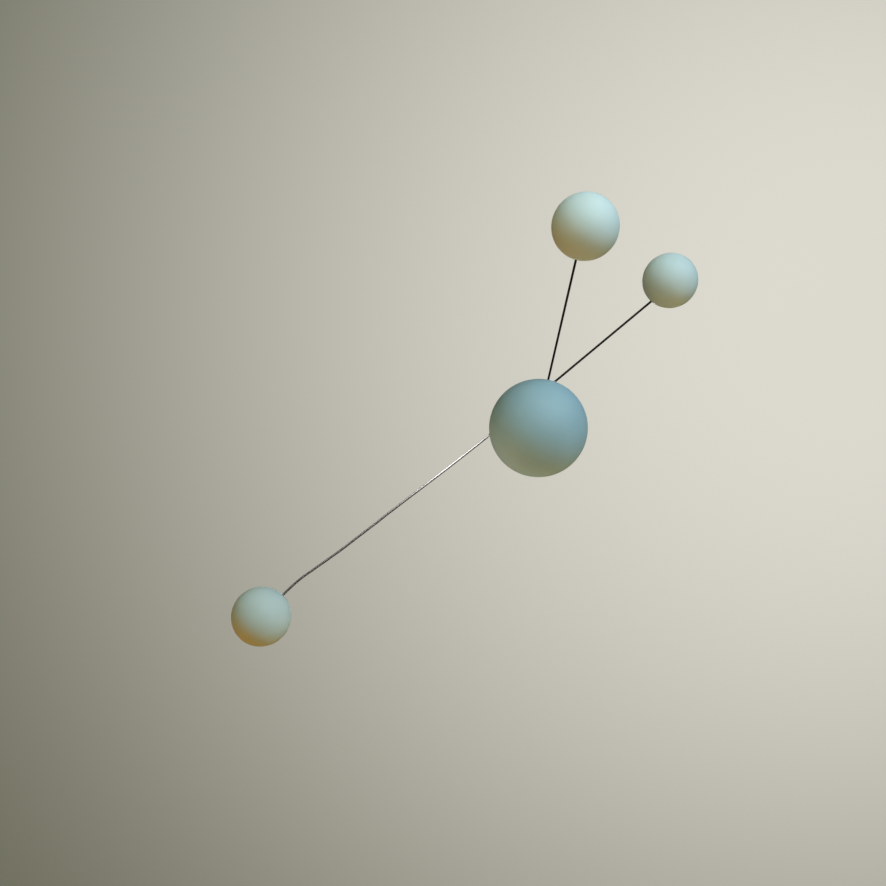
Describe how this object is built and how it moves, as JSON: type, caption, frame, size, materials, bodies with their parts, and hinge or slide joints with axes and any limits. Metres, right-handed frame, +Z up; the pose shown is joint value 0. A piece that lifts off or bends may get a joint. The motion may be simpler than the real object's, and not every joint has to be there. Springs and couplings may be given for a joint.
{
  "type": "hanging mobile sculpture",
  "caption": "Hanging mobile of matt painted balls on wire arms: one large centre ball, smaller balls on two short black rods and one long steel wire, and a screw eye to hang it by.",
  "frame": {"origin": "the inside of the crown of the hanging eye's ring, where the thread bears", "axes": "+Z up; +X towards the side of the high ball and away from the far ball; the low and high balls lie towards -Y and the far ball towards +Y"},
  "size_m": [0.4703, 0.427, 0.2081],
  "materials": {
    "centre_ball_paint": "matt blue-grey paint over a smooth sealed ball",
    "outer_ball_paint": "matt pale mint paint over a smooth sealed ball",
    "rod_lacquer": "black satin lacquer on steel rod",
    "wire_steel": "bright drawn steel"
  },
  "bodies": {
    "root": {"centre_ball": "centre_ball_paint", "low_ball": "outer_ball_paint", "high_ball": "outer_ball_paint", "far_ball": "outer_ball_paint", "low_rod": "rod_lacquer", "high_rod": "rod_lacquer", "far_wire": "wire_steel", "hanging_eye": "wire_steel"}
  },
  "joints": []
}
